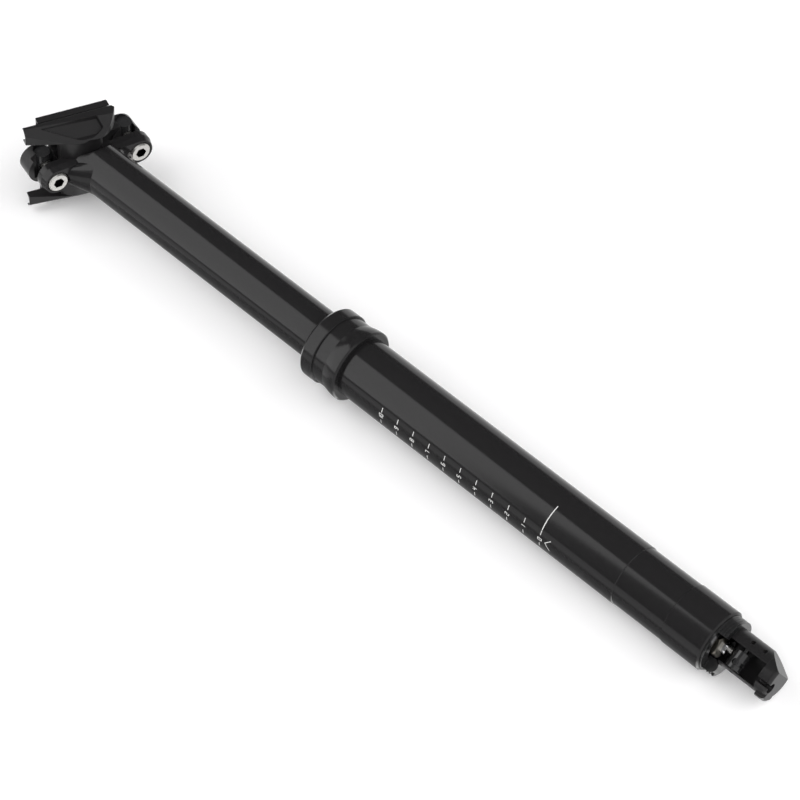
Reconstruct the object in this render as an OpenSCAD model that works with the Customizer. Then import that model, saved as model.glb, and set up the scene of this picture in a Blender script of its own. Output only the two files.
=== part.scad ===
// Dropper seatpost: a telescoping bicycle seatpost with a gas spring cartridge,
// a cable operated valve lever at its foot and a two bolt rail clamp on its head.
// +Z runs up the post, +X forward and +Y left. The origin is on the post's axis,
// at the underside of the collar, which is where the frame's seat tube ends.

/* [Telescope] */
// How far the saddle drops
travel = 150; // [75:5:200]
// Outer diameter of the lower tube, the size of the frame's seat tube
lower_tube_d = 30.9; // [27.2:0.1:34.9]
// Wall of the lower tube
lower_tube_wall = 1.6; // [1.4:0.1:2.2]
// Wall of the stanchion
stanchion_wall = 2; // [1.6:0.1:2.6]
// Length of stanchion that stays in the lower tube at full height
overlap = 50.2; // [46:0.1:80]
// Room under the dropped stanchion for the bumper, plug and lip
foot_room = 21; // [20:0.5:40]
// Radial wall of the two slide bushings
bushing_wall = 0.97; // [0.8:0.01:1.5]
// Length of each slide bushing
bushing_length = 19; // [14:0.5:24]
// Diameter of an anti-rotation key
key_d = 2.5; // [2:0.1:3]
// Length of an anti-rotation key
key_length = 14; // [8:0.5:16]
// Height of the relieved band near the foot of the lower tube
relief_height = 28.9; // [10:0.1:60]
// Distance from the tube's foot to the relieved band
relief_foot = 21.25; // [10:0.05:40]
// Radial depth of the relieved band
relief_depth = 0.35; // [0.1:0.05:0.4]

/* [Collar] */
// Height of the collar
collar_height = 23.4; // [22:0.1:30]
// How far the collar's foot flange stands out from the lower tube
collar_flange = 3.5; // [2.5:0.05:6]
// How far the collar's waist stands out from the lower tube
collar_waist = 2.35; // [1.2:0.05:2.45]
// How far the collar's top ring stands out from the lower tube
collar_top = 3.35; // [2.5:0.05:6]
// Height of the collar's top ring
collar_top_height = 8.1; // [5:0.1:10]
// Length of thread that the collar grips
collar_thread = 12; // [8:0.5:13]

/* [Cartridge] */
// Wall of the cartridge tube
cartridge_wall = 1.3; // [1:0.1:1.8]
// Diameter of the cartridge rod
rod_d = 8; // [6:0.5:9]
// Diameter of the valve pin inside the rod
valve_pin_d = 3; // [2:0.1:3.4]
// Height of the piston
piston_height = 10; // [7:0.5:12]
// Height of the floating piston
floating_height = 12; // [8:0.5:14]
// Width of the rod nut across its flats
rod_nut_flats = 13; // [12:0.5:14]

/* [Head] */
// Height of the rail clamp's centre above the collar when dropped
head_clearance = 31; // [31:0.1:60]
// Setback of the rail clamp's centre behind the tube's axis
setback = 1.5; // [0:0.1:10]
// Tilt of the bolt lugs, front down
head_tilt = 13.7; // [5:0.1:20]
// Tilt of the saddle rails as stored, front down
rail_tilt = 20.6; // [12:0.1:24]
// Distance between the two clamp bolts
bolt_spacing = 46; // [42:0.5:52]
// Drop from the clamp's centre to the lugs' underside
lug_drop = 17.5; // [16.5:0.1:20]
// Thickness of the lugs
lug_thickness = 7; // [6:0.1:7.4]
// Half width of the lugs
lug_r = 7.9; // [7.2:0.1:9.5]
// Radius of the seat that the cradle turns in
seat_r = 15.3; // [14:0.1:15.8]

/* [Rail clamp] */
// Diameter of the saddle rails
rail_d = 7; // [7:0.1:8]
// Distance between the saddle rails
rail_spacing = 43.5; // [42:0.5:46]
// Gap between the closed clamp halves
clamp_gap = 0.6; // [0.4:0.1:1.4]
// Drop from the clamp's centre to the rails
rail_drop = 2.6; // [1.5:0.1:4]
// How far a wing reaches inside the rail
wing_inner = 0.7; // [0.5:0.05:2]
// How far a wing reaches outside the rail
wing_outer = 0.45; // [0.3:0.05:2.5]
// Radius of a cradle wing's rounded front and belly
wing_r = 17.8; // [16.5:0.1:20]
// Reach of a cradle wing behind the clamp's centre
wing_tail = 26.4; // [20:0.1:32]
// Thickness of a cradle wing at its tail
wing_tail_height = 3.9; // [3.8:0.05:6]
// Height of a cradle wing's outer edge at its tail
wing_lip = 1.3; // [1:0.05:2.5]
// Length of the upper clamp over a rail
bar_length = 37.4; // [26:0.1:40]
// Radius of the upper clamp's ears
ear_r = 8.3; // [8:0.1:9.5]
// Half height of the upper clamp's ears
ear_half = 5.4; // [5.2:0.1:5.5]

/* [Clamp bolts] */
// Thread diameter of the clamp bolts
bolt_d = 6; // [5:0.5:6]
// Depth of the bolts' thread, left open between bolt and nut
thread_depth = 0.7; // [0.7:0.05:0.8]
// Diameter of a bolt head
bolt_head_d = 10.6; // [9:0.1:11]
// Height of a bolt head
bolt_head_height = 3.5; // [3:0.1:6]
// Width of the bolts' hexagon socket across its flats
socket_flats = 5; // [4:0.5:5]
// Thickness of a washer
washer_height = 1; // [0.8:0.1:1.6]
// Diameter of a barrel nut
nut_d = 8.4; // [8.2:0.1:8.6]
// Length of a barrel nut
nut_length = 13; // [10:0.5:14]

/* [Actuator] */
// Bearing of the actuator's window, anticlockwise from forward
window_bearing = 235; // [0:5:360]
// Radius of the actuator's cage
cage_r = 9.55; // [9.2:0.05:10]
// Offset of the cage from the post's axis, across the window
cage_offset = 1.85; // [1.4:0.05:2.2]
// Width of the slot between the cage's cheeks
cage_slot = 11; // [10:0.1:11.2]
// Height of the actuator's threaded ring
ring_height = 5.5; // [5:0.1:9]
// Height of the slot between ring and end block
cage_height = 19.8; // [19:0.1:30]
// Height of the end block
end_height = 6.5; // [6:0.1:14]
// Diameter of the cable housing that seats in the end block
housing_d = 5.1; // [4.1:0.1:5.6]
// Diameter of the inner cable's passage
cable_d = 2; // [1.5:0.1:2.6]
// Diameter of the lever's pivot pin
pivot_d = 2.4; // [2:0.1:3]
// Diameter of the cable barrel
barrel_d = 4.8; // [4:0.1:5]

/* [Fits] */
// Radial clearance of parts that slide or turn on each other
running_gap = 0.05; // [0.03:0.01:0.08]
// Radial clearance of parts that are screwed or pressed together
static_gap = 0.03; // [0.02:0.01:0.06]
// Clearance of the turning cradle on its seat
seat_gap = 0.15; // [0.1:0.05:0.3]

/* [Hidden] */
$fn = 96;
cut = 1;
far = 60;

// Radii of the telescope, from the outside in
tube_r = lower_tube_d / 2;
tube_bore_r = tube_r - lower_tube_wall;
stanchion_r = tube_bore_r - bushing_wall - running_gap - static_gap;
stanchion_bore_r = stanchion_r - stanchion_wall;
cartridge_r = stanchion_bore_r - 4 * running_gap;
cartridge_bore_r = cartridge_r - cartridge_wall;
rod_r = rod_d / 2;
pin_r = valve_pin_d / 2;
pin_bore_r = pin_r + 2 * running_gap;
thread_r = tube_r - 0.45;

// Heights along the post, from the foot up
tube_foot = -(overlap + travel + foot_room);
lip_height = 2.5;
lip_r = tube_bore_r - 1.4;
plug_foot = tube_foot + lip_height;
bumper_height = 3.5;
plug_top = tube_foot + foot_room - bumper_height - 1;
thread_foot = 3;
tube_top = thread_foot + collar_thread;
o_ring_height = thread_r - tube_bore_r;
wiper_foot = tube_top + o_ring_height + 0.4;
wiper_lip = 0.5;
stanchion_foot = -overlap;
retainer_foot = stanchion_foot + 1.5;
retainer_height = 3;
gland_flange = 2;
gland_foot = retainer_foot + retainer_height;
cartridge_foot = gland_foot + gland_flange;
gland_top = cartridge_foot + 6;
piston_foot = gland_top + 2;
piston_top = piston_foot + piston_height;
rail_height = travel + collar_height + head_clearance;
bore_top = rail_height - 37;
cartridge_top = bore_top - 2;
cartridge_cap = 5;
ring_groove = 1.5;

// The floating piston rises by the volume of rod that enters the cartridge
floating_ratio = pow(rod_r / cartridge_bore_r, 2);
floating_foot = piston_top + travel * (1 - floating_ratio) + 3.5;
floating_recess = 4;

// Anti-rotation keys, half in the stanchion and half in the tube's keyways
key_count = 3;
key_r = key_d / 2;
key_ring_r = stanchion_r + 0.35;
key_foot = stanchion_foot + 2.5;

// Clamp bolts and lugs, measured from the clamp's centre with the lugs level
bolt_mid = setback / cos(head_tilt) + lug_drop * tan(head_tilt);
bolt_xs = [bolt_mid - bolt_spacing / 2, bolt_mid + bolt_spacing / 2];
lug_top = -lug_drop + lug_thickness;
lug_draft = 1;
bolt_core_r = bolt_d / 2 - thread_depth + 0.1;
nut_hole_r = bolt_core_r + thread_depth + 0.05;
bolt_head_r = bolt_head_d / 2;
recess_r = bolt_head_r + 0.6;
recess_depth = bolt_head_height + washer_height - 1;
washer_top = -lug_drop + recess_depth;
head_top = washer_top - washer_height;
bolt_tip = 8;
lug_hole_r = bolt_d / 2 + 0.2;
nut_r = nut_d / 2;

// Rail clamp, measured from the clamp's centre with the rails level
rail_r = rail_d / 2;
rail_y = rail_spacing / 2;
wing_out = rail_y + rail_r + wing_outer;
wing_in = rail_y - rail_r - wing_inner;
cradle_top = -rail_drop - clamp_gap / 2;
bar_foot = -rail_drop + clamp_gap / 2;
core_top = -7;
belly_x = 4.2;
belly_z = 1.2;
wing_pitch = 5.5;
wing_slope = 44;
wing_chamfer = 1.6;
bar_round = 3;
hollow_pitch = 1;
ear_shift = 1.7;
ear_way = 7;
ear_lip = 1.8;
bolt_play = 1;
core_rear = -10.5;
bar_crown_r = 5.1;
bar_crown_z = bar_foot + 0.9;
bar_mid = 0.5;

// Actuator heights
ring_foot = tube_foot - ring_height;
slot_foot = ring_foot - cage_height;
actuator_foot = slot_foot - end_height;
rod_foot = ring_foot + 0.2;
pivot_x = 2.2;
pivot_z = ring_foot - 7;
pivot_r = pivot_d / 2;
barrel_r = barrel_d / 2;
barrel_x = pivot_x + 4;
barrel_z = pivot_z - 1;
nose_x = pivot_x - 3;
nose_z = pivot_z + 3.4;
nose_r = 1.5;
slot_mid = -0.9;
lever_mid = -1.6;
lever_width = cage_slot - 2 * abs(lever_mid - slot_mid) - 1;
barrel_length = lever_width - 1.6;
pin_foot = nose_z + nose_r + 0.4;
screw_hole_pitch = 6.6;
screw_hole_r = 0.95;
cable_x = barrel_x - 2;
cable_y = -2.6;
nut_foot = tube_foot - 2.5;
cage_back = -4.6;
ring_bore_r = rod_nut_flats / 2 + 2.7;
pin_end = slot_mid + cage_slot / 2 + 3;
screw_y = cage_offset + 6.65;

// A ring about the post's axis from z0 to z1
module ring(outer, inner, z0, z1) {
    translate([0, 0, z0]) difference() {
        cylinder(r = outer, h = z1 - z0);
        translate([0, 0, -cut]) cylinder(r = inner, h = z1 - z0 + 2 * cut);
    }
}

// A cylinder along Y, centred on y = 0
module cross_pin(r, length, x = 0, z = 0) {
    translate([x, 0, z]) rotate([90, 0, 0]) cylinder(r = r, h = length, center = true);
}

// An outline drawn in x and z, made solid from y0 to y1
module across(y0, y1) {
    translate([0, y1, 0]) rotate([90, 0, 0]) linear_extrude(y1 - y0) children();
}

// The clamp's centre with the frame tilted front down
module clamp_frame(tilt) {
    translate([-setback, 0, rail_height]) rotate([0, tilt, 0]) children();
}

// The actuator's own frame, with +X out of its window
module actuator_frame() {
    rotate([0, 0, window_bearing]) children();
}

// Left and right copies
module both_sides() {
    children();
    mirror([0, 1, 0]) children();
}

module keys(r, foot, height) {
    for (i = [0 : key_count - 1])
        rotate([0, 0, 90 + i * 360 / key_count])
            translate([key_ring_r, 0, foot]) cylinder(r = r, h = height);
}

module lower_tube() {
    relief_z = tube_foot + relief_foot;
    color("#1b1b1d") difference() {
        rotate_extrude() polygon([
            [lip_r, tube_foot], [tube_r - 0.8, tube_foot], [tube_r, tube_foot + 0.8],
            [tube_r, relief_z], [tube_r - relief_depth, relief_z + relief_depth],
            [tube_r - relief_depth, relief_z + relief_height - relief_depth],
            [tube_r, relief_z + relief_height], [tube_r, 0], [thread_r, thread_foot],
            [thread_r, tube_top], [tube_bore_r, tube_top], [tube_bore_r, plug_foot], [lip_r, plug_foot]
        ]);
        keys(key_r + running_gap, plug_top, -plug_top - bushing_length + tube_top - cut);
    }
}

module seal_collar() {
    flange_r = tube_r + collar_flange;
    waist_r = tube_r + collar_waist;
    top_r = tube_r + collar_top;
    seam_z = collar_height - collar_top_height;
    foot_chamfer = 0.8;
    flare_foot = 1.5;
    flare = 7;
    rim_chamfer = 1.5;
    color("#1c1c1e") rotate_extrude() polygon(concat(
        [[tube_r + static_gap, 0], [flange_r - foot_chamfer, 0], [flange_r, foot_chamfer]],
        [for (a = [0:15:90]) [waist_r + (flange_r - waist_r) * cos(a), flare_foot + flare * a / 90]],
        [
            [waist_r, seam_z], [top_r - 0.3, seam_z], [top_r, seam_z + 0.3],
            [top_r, collar_height - rim_chamfer], [top_r - rim_chamfer, collar_height],
            [thread_r + 0.5, collar_height], [thread_r + 0.5, wiper_foot],
            [thread_r + static_gap, wiper_foot - 0.4], [thread_r + static_gap, thread_foot]
        ]
    ));
}

module wiper_seal() {
    outer = thread_r + 0.5 - static_gap;
    inner = stanchion_r + running_gap;
    color("#111111") rotate_extrude() polygon([
        [inner + 0.6, wiper_foot], [outer, wiper_foot], [outer, collar_height + 0.1],
        [inner + 1.2, collar_height + 0.2], [inner, collar_height + wiper_lip],
        [inner, collar_height - 1.4], [inner + 0.6, collar_height - 2]
    ]);
}

module collar_o_ring() {
    middle_r = (thread_r + tube_bore_r) / 2;
    color("#161616") translate([0, 0, tube_top + o_ring_height / 2])
        rotate_extrude() translate([middle_r, 0]) circle(r = o_ring_height / 2);
}

module upper_bushing() {
    color("#3a3a38") ring(tube_bore_r - static_gap, stanchion_r + running_gap,
        tube_top - bushing_length, tube_top);
}

module lower_bushing() {
    foot = stanchion_foot + 0.5;
    color("#3a3a38") difference() {
        ring(tube_bore_r - running_gap, stanchion_r + static_gap, foot, foot + bushing_length);
        keys(key_r + running_gap, key_foot - running_gap, key_length + 2 * running_gap);
    }
}

module anti_rotation_keys() {
    color("#b5893c") keys(key_r, key_foot, key_length);
}

module base_plug() {
    color("#2a2a2c") difference() {
        ring(tube_bore_r - static_gap, rod_r + static_gap, plug_foot, plug_top);
        for (a = [0 : 60 : 300]) rotate([0, 0, a])
            translate([(rod_r + tube_bore_r) / 2, 0, plug_foot - cut])
                cylinder(r = 1.8, h = 6);
    }
}

module bottom_bumper() {
    color("#151515") ring(stanchion_r - 0.5, rod_r + 2 * running_gap, plug_top, plug_top + bumper_height);
}

module cartridge_rod() {
    color("#b9bbbe") ring(rod_r, pin_bore_r, rod_foot, piston_top - 1);
}

module rod_nut() {
    height = plug_foot - nut_foot;
    color("#c9cbce") translate([0, 0, nut_foot]) difference() {
        intersection() {
            cylinder(d = rod_nut_flats / cos(30), h = height, $fn = 6);
            cylinder(r1 = rod_nut_flats / 2 - 0.2, r2 = rod_nut_flats / 2 + 6, h = height);
        }
        translate([0, 0, -cut]) cylinder(r = rod_r + static_gap, h = height + 2 * cut);
    }
}

module piston() {
    color("#8f9194") difference() {
        ring(cartridge_bore_r - running_gap, rod_r + static_gap, piston_foot, piston_top);
        seal_groove(piston_foot + piston_height / 2);
    }
}

// The groove that holds a seal in the cartridge's bore
module seal_groove(z) {
    ring(cartridge_bore_r + cut, cartridge_bore_r - ring_groove, z - ring_groove / 2, z + ring_groove / 2);
}

module bore_seal(z) {
    color("#171717") ring(cartridge_bore_r - running_gap / 2, cartridge_bore_r - ring_groove + static_gap,
        z - ring_groove / 2 + static_gap, z + ring_groove / 2 - static_gap);
}

module piston_seal() {
    bore_seal(piston_foot + piston_height / 2);
}

module floating_piston() {
    color("#8f9194") difference() {
        translate([0, 0, floating_foot]) cylinder(r = cartridge_bore_r - running_gap, h = floating_height);
        translate([0, 0, floating_foot + floating_height - floating_recess])
            cylinder(r = cartridge_bore_r - 3, h = floating_recess + cut);
        seal_groove(floating_foot + floating_height / 3);
    }
}

module floating_piston_seal() {
    bore_seal(floating_foot + floating_height / 3);
}

module cartridge_tube() {
    color("#9a9da1") difference() {
        translate([0, 0, cartridge_foot]) cylinder(r = cartridge_r, h = cartridge_top - cartridge_foot);
        translate([0, 0, cartridge_foot - cut])
            cylinder(r = cartridge_bore_r, h = cartridge_top - cartridge_cap - cartridge_foot + cut);
    }
}

module cartridge_gland() {
    color("#85878a") difference() {
        union() {
            ring(cartridge_r, rod_r + running_gap, gland_foot, cartridge_foot);
            ring(cartridge_bore_r - static_gap, rod_r + running_gap, cartridge_foot, gland_top);
        }
        ring(rod_r + ring_groove, rod_r, gland_top - 3.5 - static_gap, gland_top - 2 + static_gap);
    }
}

module rod_seal() {
    color("#171717")
        ring(rod_r + ring_groove - static_gap, rod_r + running_gap, gland_top - 3.5, gland_top - 2);
}

module cartridge_retainer() {
    color("#6f7174") difference() {
        ring(stanchion_bore_r - static_gap, rod_r + 2.5, retainer_foot, gland_foot);
        for (a = [0, 180]) rotate([0, 0, a])
            translate([(stanchion_bore_r + rod_r + 2.5) / 2, 0, retainer_foot - cut])
                cylinder(r = 1, h = retainer_height);
    }
}

module valve_pin() {
    color("#d0d2d5") translate([0, 0, pin_foot])
        cylinder(r = pin_r, h = piston_top - 3 - pin_foot);
}

// The head's lugs: a bar with drafted sides and a round end about each bolt
module lug_bar() {
    foot_r = lug_r - lug_draft;
    knee = -lug_drop + 3.4;
    half = [[0, -lug_drop], [foot_r, -lug_drop], [lug_r, knee], [lug_r, lug_top], [0, lug_top]];
    for (x = bolt_xs) translate([x, 0, 0]) rotate_extrude() polygon(half);
    translate([bolt_xs[0], 0, 0]) rotate([90, 0, 90]) linear_extrude(bolt_spacing) {
        polygon(half);
        mirror([1, 0]) polygon(half);
    }
}

// The neck: the stanchion's end, sloped in to the width of the lugs
module neck() {
    shoulder = -lug_drop - 2.5;
    intersection() {
        translate([0, 0, bore_top]) cylinder(r = stanchion_r, h = far);
        clamp_frame(head_tilt) translate([-far, 0, 0]) rotate([90, 0, 90]) linear_extrude(2 * far)
            polygon([
                [-stanchion_r - cut, -far], [stanchion_r + cut, -far], [stanchion_r + cut, shoulder],
                [lug_r - 0.2, lug_top - 2.2], [lug_r - 0.2, lug_top], [0.2 - lug_r, lug_top],
                [0.2 - lug_r, lug_top - 2.2], [-stanchion_r - cut, shoulder]
            ]);
    }
}

// A loft from the tube up to the underside of the rear lug, side -1, or the front lug, side 1
module gusset(side) {
    drop = side < 0 ? 26.8 : 29.5;
    slice = 1;
    sink = 0.3;
    reach = stanchion_r - 1.3;
    hull() {
        translate([0, 0, rail_height - drop]) cylinder(r = stanchion_r - sink, h = slice, $fn = 48);
        clamp_frame(head_tilt) translate([bolt_mid + side * reach, 0, -lug_drop])
            cylinder(r = lug_r - lug_draft, h = slice, $fn = 48);
    }
}

module stanchion() {
    color("#1a1a1c") difference() {
        union() {
            ring(stanchion_r, stanchion_bore_r, stanchion_foot, bore_top);
            neck();
            gusset(-1);
            gusset(1);
            clamp_frame(head_tilt) lug_bar();
        }
        keys(key_r + static_gap, key_foot - static_gap, key_length + 2 * static_gap);
        clamp_frame(head_tilt) {
            cross_pin(seat_r + seat_gap, far);
            for (x = bolt_xs) translate([x, 0, 0]) {
                translate([0, 0, -lug_drop - cut]) cylinder(r = lug_hole_r, h = lug_drop);
                translate([0, 0, -lug_drop - 20]) cylinder(r = recess_r, h = 20 + recess_depth);
            }
        }
    }
}

module clamp_bolts() {
    socket_depth = bolt_head_height - 1;
    color("#d4d6d9") clamp_frame(head_tilt) for (x = bolt_xs) translate([x, 0, 0]) difference() {
        union() {
            translate([0, 0, head_top - 0.2]) cylinder(r = bolt_core_r, h = bolt_tip - head_top + 0.2);
            translate([0, 0, head_top - bolt_head_height]) rotate_extrude() polygon([
                [0, 0], [bolt_head_r - 0.6, 0], [bolt_head_r, 0.6],
                [bolt_head_r, bolt_head_height], [0, bolt_head_height]
            ]);
        }
        translate([0, 0, head_top - bolt_head_height - cut])
            cylinder(d = socket_flats / cos(30), h = socket_depth + cut, $fn = 6);
    }
}

module bolt_washers() {
    color("#c2c4c7") clamp_frame(head_tilt) for (x = bolt_xs) translate([x, 0, 0])
        ring(recess_r - 0.3, bolt_core_r + static_gap, head_top, washer_top);
}

// A barrel nut across the post with its hole along the bolt
module barrel_nut(x) {
    color("#2a2a2c") clamp_frame(head_tilt) translate([x, 0, 0]) difference() {
        cross_pin(nut_r, nut_length);
        cylinder(r = nut_hole_r, h = 4 * nut_r, center = true);
    }
}

module rear_barrel_nut() {
    barrel_nut(bolt_xs[0]);
}

module front_barrel_nut() {
    barrel_nut(bolt_xs[1]);
}

// A round belly and front of radius r, with a straight tail that ends at the point given
module belly_outline(r, tail) {
    reach = norm([belly_x, belly_z] - tail);
    touch = 180 + atan2(belly_z - tail[1], belly_x - tail[0]) + acos(r / reach);
    translate([belly_x, belly_z]) circle(r = r);
    polygon([
        [tail[0], cradle_top + cut], tail, [belly_x + r * cos(touch), belly_z + r * sin(touch)],
        [belly_x, belly_z - r / 2], [belly_x, cradle_top + cut]
    ]);
}

// How far a wing's round front reaches at a height under its flat top
function wing_front(drop) = belly_x + sqrt(pow(wing_r, 2) - pow(belly_z - cradle_top + drop, 2));

// Side outline of a cradle wing, flat on top, with its upper front corner cut off
module wing_outline() {
    difference() {
        belly_outline(wing_r, [-wing_tail, cradle_top - wing_tail_height]);
        translate([-2 * wing_tail, cradle_top]) square([4 * wing_tail, 2 * wing_r]);
        polygon([
            [wing_front(0) - wing_chamfer, cradle_top + cut], [wing_front(0) - wing_chamfer, cradle_top],
            [wing_front(wing_chamfer), cradle_top - wing_chamfer],
            [2 * wing_r, cradle_top - wing_chamfer], [2 * wing_r, cradle_top + cut]
        ]);
    }
}

// Everything under a plane that slopes down and in from a wing's outer edge
module under_wing(pitch) {
    translate([-wing_tail, wing_out, cradle_top - wing_lip]) rotate([wing_slope, pitch, 0])
        translate([-far / 3, -far, -far]) cube([2 * far, 2 * far, far]);
}

// Side outline of the hollow in a wing's sloped underside
module wing_hollow() {
    border = 2.2;
    tail = [-0.68 * wing_tail, cradle_top - 3];
    nose = [belly_x + 6.4, cradle_top - 4.3];
    foot = [belly_x + 9.7, belly_z - wing_r];
    intersection() {
        belly_outline(wing_r - border, tail);
        polygon([tail, nose, foot, [tail[0], foot[1]]]);
    }
}

module rail_cradle() {
    core_step = 0.5;
    hollow_wall = 0.6;
    color("#202023") clamp_frame(rail_tilt) difference() {
        union() {
            both_sides() across(wing_in, wing_out) wing_outline();
            across(-wing_in - cut, wing_in + cut) intersection() {
                circle(r = seat_r);
                translate([core_rear, -seat_r]) square([2 * seat_r, seat_r + core_top]);
            }
        }
        both_sides() {
            translate([0, rail_y, -rail_drop]) rotate([0, 90, 0])
                cylinder(r = rail_r, h = 2 * wing_tail + 2 * cut, center = true);
            difference() {
                under_wing(wing_pitch);
                translate([-2 * far, wing_in - core_step - far, -2 * far]) cube([4 * far, far, 4 * far]);
            }
            intersection() {
                across(wing_in + hollow_wall, wing_out + cut) wing_hollow();
                under_wing(hollow_pitch);
            }
        }
    }
}

// The tongue of the upper clamp: a plate between two round ears
module tongue() {
    plate = 4.6;
    for (x = bolt_xs) translate([x - ear_shift, 0, -ear_half]) rotate_extrude() polygon([
        [0, 0], [ear_r, 0], [ear_r, 2 * ear_half - 0.8], [ear_r - 0.8, 2 * ear_half], [0, 2 * ear_half]
    ]);
    translate([bolt_xs[0], -ear_r, -plate]) cube([bolt_spacing - ear_shift, 2 * ear_r, plate]);
}

// Side outline of the upper clamp's bar over a rail, with its upper corners rounded
module bar_outline() {
    height = bar_crown_z + bar_crown_r - bar_foot;
    translate([bar_mid - bar_length / 2, bar_foot]) {
        square([bar_length, height - bar_round]);
        translate([bar_round, 0]) square([bar_length - 2 * bar_round, height]);
        for (x = [bar_round, bar_length - bar_round])
            translate([x, height - bar_round]) circle(r = bar_round);
    }
}

module upper_clamp() {
    bridge_x = bar_length / 2 - 6;
    bolt_way_r = nut_hole_r + bolt_play;
    color("#222225") difference() {
        union() {
            clamp_frame(rail_tilt) {
                both_sides() intersection() {
                    across(wing_in, wing_out) bar_outline();
                    translate([0, rail_y, bar_crown_z]) rotate([0, 90, 0])
                        cylinder(r = bar_crown_r, h = 2 * bar_length, center = true);
                }
                translate([bar_mid - bridge_x, -wing_in - cut, bar_foot])
                    cube([2 * bridge_x, 2 * wing_in + 2 * cut, bar_crown_z + bar_crown_r - 1.4 - bar_foot]);
            }
            clamp_frame(head_tilt) tongue();
        }
        clamp_frame(rail_tilt) both_sides() translate([0, rail_y, -rail_drop]) rotate([0, 90, 0])
            cylinder(r = rail_r, h = 2 * bar_length, center = true);
        clamp_frame(head_tilt) for (x = bolt_xs) {
            cross_pin(nut_r + running_gap, 4 * ear_r, x);
            translate([x, 0, 0]) cylinder(r = bolt_way_r, h = 4 * ear_half, center = true);
            translate([x, -2 * ear_r, -2 * ear_half]) {
                way = x < bolt_mid ? [ear_way, bolt_way_r] : [bolt_way_r, ear_way - 2 * ear_shift];
                translate([-way[0], 0, 0])
                    cube([way[0] + way[1], 2 * ear_r + bolt_way_r, 2 * ear_half - ear_lip]);
            }
        }
    }
}

// The actuator's round body, whole, with a rounded foot
module cage_body(r) {
    shoulder = 1.8;
    height = ring_foot - actuator_foot;
    translate([0, cage_offset, actuator_foot]) rotate_extrude() {
        polygon([
            [0, 0], [r - shoulder, 0], [r - shoulder, shoulder], [r, shoulder], [r, height], [0, height]
        ]);
        intersection() {
            translate([r - shoulder, shoulder]) circle(r = shoulder);
            square([r, shoulder]);
        }
    }
}

// Everything beyond the sloped end of the actuator's body
module end_slope() {
    end_y = cage_offset + 3;
    slope = 0.66;
    translate([-2 * cage_r, 0, actuator_foot]) rotate([90, 0, 90]) linear_extrude(4 * cage_r)
        polygon([[end_y - slope * cut, -cut], [end_y + slope * 20, 20], [end_y + slope * 20, -cut]]);
}

// A rounded tab beside the window that holds the actuator square
module ring_tab() {
    tab_r = 3.2;
    tab_y = -10.2;
    tab_z = tube_foot - 3.1;
    difference() {
        union() {
            translate([-6, tab_y, tab_z]) rotate([0, 90, 0]) cylinder(r = tab_r, h = 7);
            translate([-6, tab_y - tab_r, tab_z]) cube([7, 2 * tab_r, tube_foot - tab_z]);
        }
        translate([0, 0, ring_foot]) cylinder(r = ring_bore_r - 2.2, h = 2 * ring_height);
        translate([0, cage_offset, ring_foot - ring_height])
            cylinder(r = cage_r + static_gap, h = ring_height);
    }
}

module actuator_ring() {
    groove = 0.45;
    groove_pitch = ring_height / 4;
    ring_r = tube_r - 1.25;
    color("#18181a") actuator_frame() {
        ring(lip_r - static_gap, ring_bore_r, tube_foot - cut, plug_foot - 0.2);
        difference() {
            ring(ring_r, ring_bore_r, ring_foot, tube_foot);
            translate([-3, -2 * ring_r, ring_foot - cut]) cube([4 * ring_r, 2 * ring_r + 3, ring_height]);
            for (i = [1 : 3]) translate([0, 0, tube_foot - i * groove_pitch]) rotate_extrude()
                translate([ring_r, 0]) circle(r = groove);
        }
        ring_tab();
    }
}

module actuator_cage() {
    color("#18181a") actuator_frame() difference() {
        intersection() {
            cage_body(cage_r);
            translate([0, 0, slot_foot]) cylinder(r = 2 * cage_r, h = cage_height);
        }
        translate([cage_back, slot_mid - cage_slot / 2, slot_foot - cut])
            cube([4 * cage_r, cage_slot, cage_height + 2 * cut]);
        end_slope();
        translate([0, pin_end - 2 * cage_r, 0]) cross_pin(pivot_r + static_gap, 4 * cage_r, pivot_x, pivot_z);
        for (i = [0, 1]) translate([cage_r - 5, screw_y, pivot_z - 1.7 - i * screw_hole_pitch])
            rotate([0, 90, 0]) cylinder(r = screw_hole_r, h = cage_r);
    }
}

module cable_end_block() {
    color("#18181a") actuator_frame() difference() {
        union() {
            intersection() {
                cage_body(cage_r);
                translate([0, 0, actuator_foot]) cylinder(r = 2 * cage_r, h = end_height);
            }
            intersection() {
                cage_body(cage_r + 1.4);
                translate([cage_back, -2 * cage_r, actuator_foot]) cube([8, 2 * cage_r, end_height - 1.5]);
            }
        }
        end_slope();
        translate([cable_x, cable_y, actuator_foot]) {
            translate([0, 0, -cut]) cylinder(r = housing_d / 2, h = end_height - 3 + cut);
            cylinder(r = cable_d / 2, h = end_height + cut);
            translate([0, -cable_d / 2, -cut]) cube([2 * cage_r, cable_d, end_height + 2 * cut]);
        }
    }
}

module lever_pivot_pin() {
    length = pin_end - cage_offset + cage_r - 0.8;
    color("#c4c6c9") actuator_frame() translate([0, pin_end - length / 2, 0])
        cross_pin(pivot_r, length, pivot_x, pivot_z);
}

// Side outline of the valve lever: hub, nose under the valve pin and cable eye
module lever_outline() {
    hub_r = pivot_r + 2;
    eye_r = barrel_r + 1.2;
    translate([pivot_x, pivot_z]) circle(r = hub_r);
    translate([nose_x, nose_z]) circle(r = nose_r);
    translate([barrel_x, barrel_z]) circle(r = eye_r);
    polygon([
        [nose_x - nose_r * 0.8, nose_z - nose_r * 0.6], [pivot_x - hub_r * 0.8, pivot_z - hub_r * 0.6],
        [barrel_x, barrel_z - eye_r], [barrel_x, barrel_z + eye_r],
        [nose_x + nose_r * 0.6, nose_z + nose_r * 0.8]
    ]);
}

// The place of the cable's end in the lever
module at_cable_eye() {
    translate([barrel_x, cable_y, barrel_z]) children();
}

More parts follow.
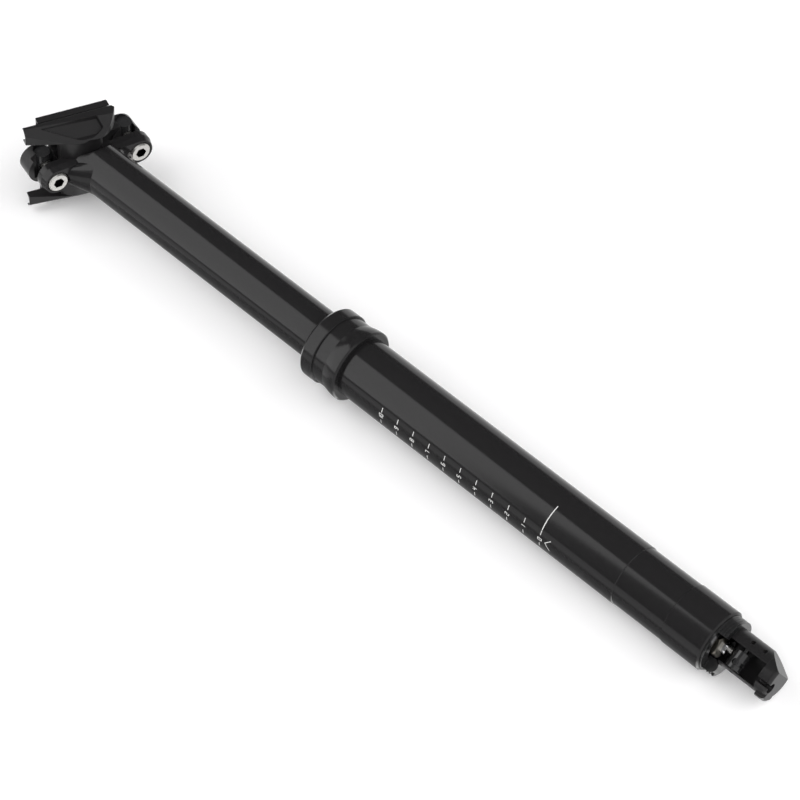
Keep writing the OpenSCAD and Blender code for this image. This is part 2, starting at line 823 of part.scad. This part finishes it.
module valve_lever() {
    eye_r = barrel_r + 1.2;
    color("#1f1f22") actuator_frame() difference() {
        across(lever_mid - lever_width / 2, lever_mid + lever_width / 2) lever_outline();
        cross_pin(pivot_r + running_gap, 4 * lever_width, pivot_x, pivot_z);
        translate([0, lever_mid, 0]) cross_pin(barrel_r + static_gap, barrel_length, barrel_x, barrel_z);
        at_cable_eye() {
            translate([0, -cable_d / 2, -3 * eye_r]) cube([3 * eye_r, cable_d, 3 * eye_r]);
            translate([0, 0, -3 * eye_r]) cylinder(r = cable_d / 2, h = 3 * eye_r);
            rotate([0, 90, 0]) cylinder(r = cable_d / 2 + 0.4, h = 3 * eye_r);
        }
    }
}

module cable_barrel() {
    color("#2a2a2c") actuator_frame() difference() {
        translate([0, lever_mid, 0]) cross_pin(barrel_r, barrel_length - 2 * static_gap, barrel_x, barrel_z);
        at_cable_eye() {
            translate([0, 0, -2 * barrel_r]) cylinder(r = cable_d / 2 - 0.2, h = 4 * barrel_r);
            rotate([0, 90, 0]) cylinder(r = cable_d / 2 + 0.2, h = 2 * barrel_r);
        }
    }
}

module barrel_screw() {
    color("#55585c") actuator_frame() at_cable_eye() translate([0.9, 0, 0]) rotate([0, 90, 0]) difference() {
        cylinder(r = cable_d / 2 + 0.2 - static_gap, h = barrel_r - 0.9);
        translate([0, 0, 0.5]) cylinder(d = 1.2 / cos(30), h = barrel_r, $fn = 6);
    }
}

lower_tube();
seal_collar();
wiper_seal();
collar_o_ring();
upper_bushing();
base_plug();
bottom_bumper();
cartridge_rod();
rod_nut();
piston();
piston_seal();
actuator_ring();
actuator_cage();
cable_end_block();
lever_pivot_pin();
stanchion();
lower_bushing();
anti_rotation_keys();
cartridge_tube();
cartridge_gland();
rod_seal();
cartridge_retainer();
clamp_bolts();
bolt_washers();
floating_piston();
floating_piston_seal();
valve_pin();
valve_lever();
cable_barrel();
barrel_screw();
rail_cradle();
upper_clamp();
rear_barrel_nut();
front_barrel_nut();
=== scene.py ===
import math

import bpy
from mathutils import Matrix, Quaternion, Vector


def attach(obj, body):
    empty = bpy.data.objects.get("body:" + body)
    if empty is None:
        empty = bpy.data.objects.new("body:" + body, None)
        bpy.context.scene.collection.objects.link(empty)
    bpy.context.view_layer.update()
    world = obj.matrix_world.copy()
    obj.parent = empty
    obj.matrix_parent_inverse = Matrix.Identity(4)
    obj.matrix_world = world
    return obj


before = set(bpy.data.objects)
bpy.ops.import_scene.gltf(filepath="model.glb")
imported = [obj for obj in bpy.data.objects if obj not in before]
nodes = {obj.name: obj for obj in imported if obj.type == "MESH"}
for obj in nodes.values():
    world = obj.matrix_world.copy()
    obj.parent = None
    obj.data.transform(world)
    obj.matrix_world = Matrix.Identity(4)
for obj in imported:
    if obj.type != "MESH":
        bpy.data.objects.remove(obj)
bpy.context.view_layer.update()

MM = 0.001
WHITE = (1, 1, 1, 1)
scene = bpy.context.scene


def new_object(name, data):
    obj = bpy.data.objects.new(name, data)
    scene.collection.objects.link(obj)
    return obj


# Materials
GRAIN_SCALE = 900
GRAIN_DETAIL = 4
EDGE_SAMPLES = 4
# Painted shade in a piece's own hollows: its colour and the occlusion range over which it fades out
HOLLOW_SAMPLES = 8
HOLLOW_SHADE_COLOUR = (0.012, 0.012, 0.012, 1)
HOLLOW_DEEP = 0.7
HOLLOW_OPEN = 0.97


def add_grain(tree, shader, rough, spread):
    """Fine noise in the roughness, spread to either side of its mean."""
    coords = tree.nodes.new("ShaderNodeTexCoord")
    noise = tree.nodes.new("ShaderNodeTexNoise")
    noise.inputs["Scale"].default_value = GRAIN_SCALE
    noise.inputs["Detail"].default_value = GRAIN_DETAIL
    span = tree.nodes.new("ShaderNodeMapRange")
    span.inputs["To Min"].default_value = rough - spread
    span.inputs["To Max"].default_value = rough + spread
    tree.links.new(coords.outputs["Object"], noise.inputs["Vector"])
    tree.links.new(noise.outputs["Fac"], span.inputs["Value"])
    tree.links.new(span.outputs["Result"], shader.inputs["Roughness"])


def soften_edges(tree, shader, radius):
    bevel = tree.nodes.new("ShaderNodeBevel")
    bevel.samples = EDGE_SAMPLES
    bevel.inputs["Radius"].default_value = radius
    tree.links.new(bevel.outputs["Normal"], shader.inputs["Normal"])


def darken_hollows(tree, shader, colour, reach):
    """Painted shade: the base colour goes dark in a piece's own hollows, such as a bolt's socket,
    the more enclosed they are.
    """
    hollow = tree.nodes.new("ShaderNodeAmbientOcclusion")
    hollow.only_local = True
    hollow.samples = HOLLOW_SAMPLES
    hollow.inputs["Distance"].default_value = reach
    openness = tree.nodes.new("ShaderNodeMapRange")
    openness.inputs["From Min"].default_value = HOLLOW_DEEP
    openness.inputs["From Max"].default_value = HOLLOW_OPEN
    shade_mix = tree.nodes.new("ShaderNodeMix")
    shade_mix.data_type = "RGBA"
    dark, unshaded = (i for i in shade_mix.inputs if i.type == "RGBA")
    dark.default_value = HOLLOW_SHADE_COLOUR
    unshaded.default_value = (*colour, 1)
    result = next(o for o in shade_mix.outputs if o.type == "RGBA")
    tree.links.new(hollow.outputs["AO"], openness.inputs["Value"])
    tree.links.new(openness.outputs["Result"], shade_mix.inputs[0])
    tree.links.new(result, shader.inputs["Base Color"])


def finish(name, colour, rough, metallic=0.0, grain=0.0, edge=0.0, level=0.5, hollow=0.0):
    """A surface with a fine grain, edges softened by edge metres and painted shade in its hollows.
    """
    mat = bpy.data.materials.new(name)
    mat.use_nodes = True
    tree = mat.node_tree
    shader = tree.nodes["Principled BSDF"]
    shader.inputs["Base Color"].default_value = (*colour, 1)
    shader.inputs["Metallic"].default_value = metallic
    shader.inputs["Roughness"].default_value = rough
    shader.inputs["Specular IOR Level"].default_value = level
    if grain:
        add_grain(tree, shader, rough, grain)
    if edge:
        soften_edges(tree, shader, edge)
    if hollow:
        darken_hollows(tree, shader, colour, hollow)
    return mat


BLACK = (0.0135, 0.013, 0.0135)
STEEL = (0.56, 0.55, 0.53)
SOCKET_SHADE_REACH = 5 * MM

anodised = finish("black anodised", BLACK, 0.14, grain=0.03, level=0.25)
collar = finish("black anodised collar", BLACK, 0.16, grain=0.03, edge=0.3 * MM, level=0.25)
satin = finish("satin black", (0.013, 0.0125, 0.013), 0.3, grain=0.05, edge=0.35 * MM, level=0.3)
gloss = finish("gloss black", (0.014, 0.014, 0.0145), 0.16, grain=0.05, edge=0.3 * MM)
dark_steel = finish("black steel", (0.02, 0.02, 0.021), 0.22, grain=0.05, edge=0.2 * MM)
bright = finish("bright steel", STEEL, 0.26, 0.88, grain=0.05, edge=0.2 * MM)
# Bolts with painted shade darkening their sockets
bolt_steel_shaded_sockets = finish("bolt steel with painted socket shade", STEEL, 0.26, 0.88, grain=0.05, edge=0.2 * MM, hollow=SOCKET_SHADE_REACH)
nut_metal = finish("dull nut", (0.3, 0.28, 0.24), 0.3, 1.0, grain=0.05, edge=0.2 * MM)
rod = finish("polished rod", (0.72, 0.72, 0.73), 0.1, 1.0)
alloy = finish("plain alloy", (0.6, 0.6, 0.61), 0.35, 1.0)
polymer = finish("bearing polymer", (0.06, 0.06, 0.055), 0.5)
rubber = finish("seal rubber", (0.012, 0.012, 0.012), 0.5)
brass = finish("brass", (0.7, 0.5, 0.22), 0.3, 1.0)
print_white = finish("white print", (0.72, 0.72, 0.71), 0.45)

NODE_FINISH = {
    "lower_tube": anodised, "stanchion": anodised, "seal_collar": collar,
    "rail_cradle": satin, "upper_clamp": satin, "base_plug": satin,
    "actuator_ring": gloss, "actuator_cage": satin, "cable_end_block": satin, "valve_lever": gloss,
    "clamp_bolts": bolt_steel_shaded_sockets, "bolt_washers": bright, "valve_pin": bright, "rod_nut": nut_metal,
    "lever_pivot_pin": dark_steel, "barrel_screw": dark_steel, "cable_barrel": dark_steel,
    "rear_barrel_nut": dark_steel, "front_barrel_nut": dark_steel,
    "cartridge_rod": rod, "piston": alloy, "cartridge_tube": alloy, "cartridge_gland": alloy,
    "cartridge_retainer": alloy, "floating_piston": alloy,
    "upper_bushing": polymer, "lower_bushing": polymer,
    "wiper_seal": rubber, "collar_o_ring": rubber, "bottom_bumper": rubber, "piston_seal": rubber,
    "rod_seal": rubber, "floating_piston_seal": rubber,
    "anti_rotation_keys": brass,
}
for name, mat in NODE_FINISH.items():
    nodes[name].data.materials.clear()
    nodes[name].data.materials.append(mat)

# Printed scale on the back of the lower tube, its zero in mm below the collar
TUBE_R = 15.45 * MM
PRINT_R = TUBE_R + 0.03 * MM
SCALE_BEARING = math.radians(181.9)
SCALE_ZERO = 128.2
SCALE_STEP = 10
SCALE_NUMBERS = 11
DEGREE = math.radians(1) * TUBE_R
STROKE_STEP = 1.2 * MM
DIGIT_HIGH = 2.3 * MM
DIGIT_WIDE = 1.15 * MM
DIGIT_LINE = 0.42 * MM
DIGIT_GAP = 0.75 * MM
DIGIT_SHIFT = 0.35 * MM
TICK_START = 9 * DEGREE
TICK_END = 19 * DEGREE
TICK_LINE = 0.4 * MM
LIMIT_START = 20 * DEGREE
LIMIT_END = 69 * DEGREE
LIMIT_LINE = 0.45 * MM
ARROW_TIP = 3.2 * MM
ARROW_FOOT = 6.2 * MM
ARROW_WIDE = 3.2 * MM
SIDES = (-1, 1)

# Strokes of each digit, and the corners that each stroke joins
DIGIT_STROKES = {
    "0": "abcdef", "1": "bc", "2": "abged", "3": "abgcd", "4": "fgbc",
    "5": "afgcd", "6": "afgedc", "7": "abc", "8": "abcdefg", "9": "abcdfg",
}
STROKE_ENDS = {
    "a": (0, 2, 1, 2), "b": (1, 2, 1, 1), "c": (1, 1, 1, 0), "d": (0, 0, 1, 0),
    "e": (0, 1, 0, 0), "f": (0, 2, 0, 1), "g": (0, 1, 1, 1),
}


def on_tube(u, v):
    """A point u metres round the tube from the scale's centre line and v metres up it."""
    a = SCALE_BEARING + u / TUBE_R
    return (PRINT_R * math.cos(a), PRINT_R * math.sin(a), v)


def print_on_tube(name, corners, faces):
    mesh = bpy.data.meshes.new(name)
    mesh.from_pydata([on_tube(u, v) for u, v in corners], [], faces)
    obj = new_object(name, mesh)
    mesh.materials.append(print_white)
    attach(obj, "lower")


def stroke(corners, faces, u0, v0, u1, v1, width):
    """Adds a straight painted line as a strip of short quads."""
    steps = max(1, int(abs(u1 - u0) / STROKE_STEP))
    length = math.hypot(u1 - u0, v1 - v0)
    du = -(v1 - v0) / length * width / 2
    dv = (u1 - u0) / length * width / 2
    base = len(corners)
    for i in range(steps + 1):
        t = i / steps
        u = u0 + (u1 - u0) * t
        v = v0 + (v1 - v0) * t
        corners += [(u - du, v - dv), (u + du, v + dv)]
    for i in range(steps):
        a = base + 2 * i
        faces.append((a, a + 2, a + 3, a + 1))


def scale_marks():
    corners, faces = [], []
    for number in range(SCALE_NUMBERS):
        z = (SCALE_STEP * number - SCALE_ZERO) * MM
        text = str(number)
        for i, digit in enumerate(text):
            left = (i - len(text) / 2) * (DIGIT_WIDE + DIGIT_GAP) + DIGIT_SHIFT
            for s in DIGIT_STROKES[digit]:
                x0, y0, x1, y1 = STROKE_ENDS[s]
                stroke(corners, faces, left + x0 * DIGIT_WIDE, z + (y0 - 1) * DIGIT_HIGH / 2,
                       left + x1 * DIGIT_WIDE, z + (y1 - 1) * DIGIT_HIGH / 2, DIGIT_LINE)
        for side in SIDES:
            stroke(corners, faces, side * TICK_START, z, side * TICK_END, z, TICK_LINE)
    print_on_tube("scale_marks", corners, faces)


def insertion_mark():
    """The limit line at the scale's zero and the arrow head below it."""
    corners, faces = [], []
    z = -SCALE_ZERO * MM
    stroke(corners, faces, LIMIT_START, z, LIMIT_END, z, LIMIT_LINE)
    for side in SIDES:
        stroke(corners, faces, 0, z - ARROW_TIP, side * ARROW_WIDE, z - ARROW_FOOT, TICK_LINE)
    print_on_tube("insertion_mark", corners, faces)


scale_marks()
insertion_mark()

# Camera, from a fit to the photo in mm, whose origin is the scale's zero
FIT_R = ((0.6998, -0.0726, -0.7107), (-0.482, 0.6863, -0.5447), (0.5273, 0.7237, 0.4453))
FIT_T = Vector((73.063, 54.545, 1240.473))
FIT_YAW = math.radians(-1.87)
FOCAL_PX = 2761.26
FRAME_PX = 800
SENSOR = 36

fit = Matrix(FIT_R)
yaw = Matrix.Rotation(FIT_YAW, 3, "Z")
axes = fit @ yaw
right, down, ahead = (axes[i].normalized() for i in range(3))
centre = yaw.transposed() @ (-(fit.transposed() @ FIT_T) - Vector((0, 0, SCALE_ZERO)))
cam = new_object("camera", bpy.data.cameras.new("camera"))
scene.camera = cam
cam.data.sensor_width = SENSOR
cam.data.lens = SENSOR * FOCAL_PX / FRAME_PX
cam.data.clip_start = 0.05
cam.data.clip_end = 50
place = Matrix((right, -down, -ahead)).transposed().to_4x4()
place.translation = centre * MM
cam.matrix_world = place

# Table: the post lies on its left side
TABLE_UP = Vector((-0.10, -0.995, 0.0254)).normalized()
TABLE_TOUCH = Vector((0, 25.9 * MM, 200 * MM))
TABLE_REACH = 6.0
TABLE_COLOUR = (0.88, 0.875, 0.88, 1)
TABLE_GLOW = 0.15
SQUARE = ((-1, -1), (1, -1), (1, 1), (-1, 1))


def seen_or_mirrored(tree):
    """1 for the rays that show a surface to the camera, straight or by a mirror or a glass."""
    path = tree.nodes.new("ShaderNodeLightPath")
    total = path.outputs["Is Camera Ray"]
    for ray in ("Is Glossy Ray", "Is Transmission Ray"):
        either = tree.nodes.new("ShaderNodeMath")
        either.operation = "MAXIMUM"
        tree.links.new(total, either.inputs[0])
        tree.links.new(path.outputs[ray], either.inputs[1])
        total = either.outputs[0]
    return total


def white_table():
    """White from above and clear from below, so that the part shows from every side."""
    mat = bpy.data.materials.new("white table")
    mat.use_nodes = True
    tree = mat.node_tree
    tree.nodes.clear()
    out = tree.nodes.new("ShaderNodeOutputMaterial")
    diffuse = tree.nodes.new("ShaderNodeBsdfDiffuse")
    diffuse.inputs["Color"].default_value = TABLE_COLOUR
    glow = tree.nodes.new("ShaderNodeEmission")
    level = tree.nodes.new("ShaderNodeMath")
    level.operation = "MULTIPLY"
    level.inputs[1].default_value = TABLE_GLOW
    both = tree.nodes.new("ShaderNodeAddShader")
    clear = tree.nodes.new("ShaderNodeBsdfTransparent")
    mix = tree.nodes.new("ShaderNodeMixShader")
    facing = tree.nodes.new("ShaderNodeNewGeometry")
    tree.links.new(facing.outputs["Backfacing"], mix.inputs[0])
    tree.links.new(seen_or_mirrored(tree), level.inputs[0])
    tree.links.new(level.outputs[0], glow.inputs["Strength"])
    tree.links.new(diffuse.outputs[0], both.inputs[0])
    tree.links.new(glow.outputs[0], both.inputs[1])
    tree.links.new(both.outputs[0], mix.inputs[1])
    tree.links.new(clear.outputs[0], mix.inputs[2])
    tree.links.new(mix.outputs[0], out.inputs["Surface"])
    return mat


across = TABLE_UP.cross(Vector((0, 0, 1))).normalized() * TABLE_REACH
along = across.normalized().cross(TABLE_UP).normalized() * TABLE_REACH
table_mesh = bpy.data.meshes.new("table")
table_mesh.from_pydata([TABLE_TOUCH + across * i + along * j for i, j in SQUARE], [], [(0, 1, 2, 3)])
table_mesh.materials.append(white_table())
if table_mesh.polygons[0].normal.dot(TABLE_UP) < 0:
    table_mesh.flip_normals()
table = new_object("table", table_mesh)

# The part mirrors the white world below it instead, and the back panel shines through
table.visible_glossy = False
table.visible_shadow = False


# Lights
def bearing(azimuth, rise):
    a = math.radians(azimuth)
    e = math.radians(rise)
    return Vector((math.cos(a) * math.cos(e), math.sin(a) * math.cos(e), math.sin(e)))


def facing_part(obj, direction, distance, roll=0.0):
    turn = Quaternion(direction, math.radians(roll))
    obj.location = direction * distance
    obj.rotation_mode = "QUATERNION"
    obj.rotation_quaternion = turn @ direction.to_track_quat("Z", "Y")


def panel(name, direction, distance, wide, tall, power, roll=0.0, mirrored=True):
    """A soft lamp, which glossy parts show only where it is mirrored."""
    light = new_object(name, bpy.data.lights.new(name, "AREA"))
    light.data.shape = "RECTANGLE"
    light.data.size = wide
    light.data.size_y = tall
    light.data.energy = power
    light.visible_camera = False
    light.visible_glossy = mirrored
    facing_part(light, direction, distance, roll)


def card(name, direction, distance, wide, tall, grey):
    """A dark card that only the glossy parts see, for the dark bands along the tubes."""
    mesh = bpy.data.meshes.new(name)
    corners = [(i * wide / 2, j * tall / 2, 0) for i, j in SQUARE]
    mesh.from_pydata(corners, [], [(0, 1, 2, 3)])
    mesh.materials.append(finish(name, (grey, grey, grey), 0.8, level=0.0))
    obj = new_object(name, mesh)
    obj.visible_camera = False
    obj.visible_diffuse = False
    obj.visible_shadow = False
    facing_part(obj, direction, distance)


panel("key", bearing(-86, -38), distance=1.6, wide=3.6, tall=1.3, power=35, mirrored=False)
panel("fill", bearing(-140, -10), distance=1.6, wide=2.0, tall=1.6, power=3, mirrored=False)
panel("left panel", bearing(-142.5, 38.7), distance=1.31, wide=1.9, tall=1.02, power=13.5, roll=-12)
panel("back panel", bearing(96, -16), distance=1.4, wide=0.6, tall=1.1, power=4.5)
card("right card", bearing(-56, 0), distance=1.2, wide=2.05, tall=3.4, grey=0.2)
card("left card", bearing(-140.5, 22), distance=1.6, wide=3.2, tall=3.2, grey=0.2)
card("table shade", bearing(98, 24), distance=1.31, wide=2.7, tall=1.0, grey=0.45)

# World: a white backdrop for what is seen and mirrored, dim as a light
WORLD_LIGHT = 0.2
world = bpy.data.worlds.new("world")
scene.world = world
world.use_nodes = True
tree = world.node_tree
tree.nodes.clear()
out = tree.nodes.new("ShaderNodeOutputWorld")
shown = tree.nodes.new("ShaderNodeBackground")
shown.inputs["Color"].default_value = WHITE
lit = tree.nodes.new("ShaderNodeBackground")
lit.inputs["Color"].default_value = WHITE
lit.inputs["Strength"].default_value = WORLD_LIGHT
mix = tree.nodes.new("ShaderNodeMixShader")
tree.links.new(seen_or_mirrored(tree), mix.inputs[0])
tree.links.new(lit.outputs[0], mix.inputs[1])
tree.links.new(shown.outputs[0], mix.inputs[2])
tree.links.new(mix.outputs[0], out.inputs["Surface"])

scene.view_settings.view_transform = "Standard"
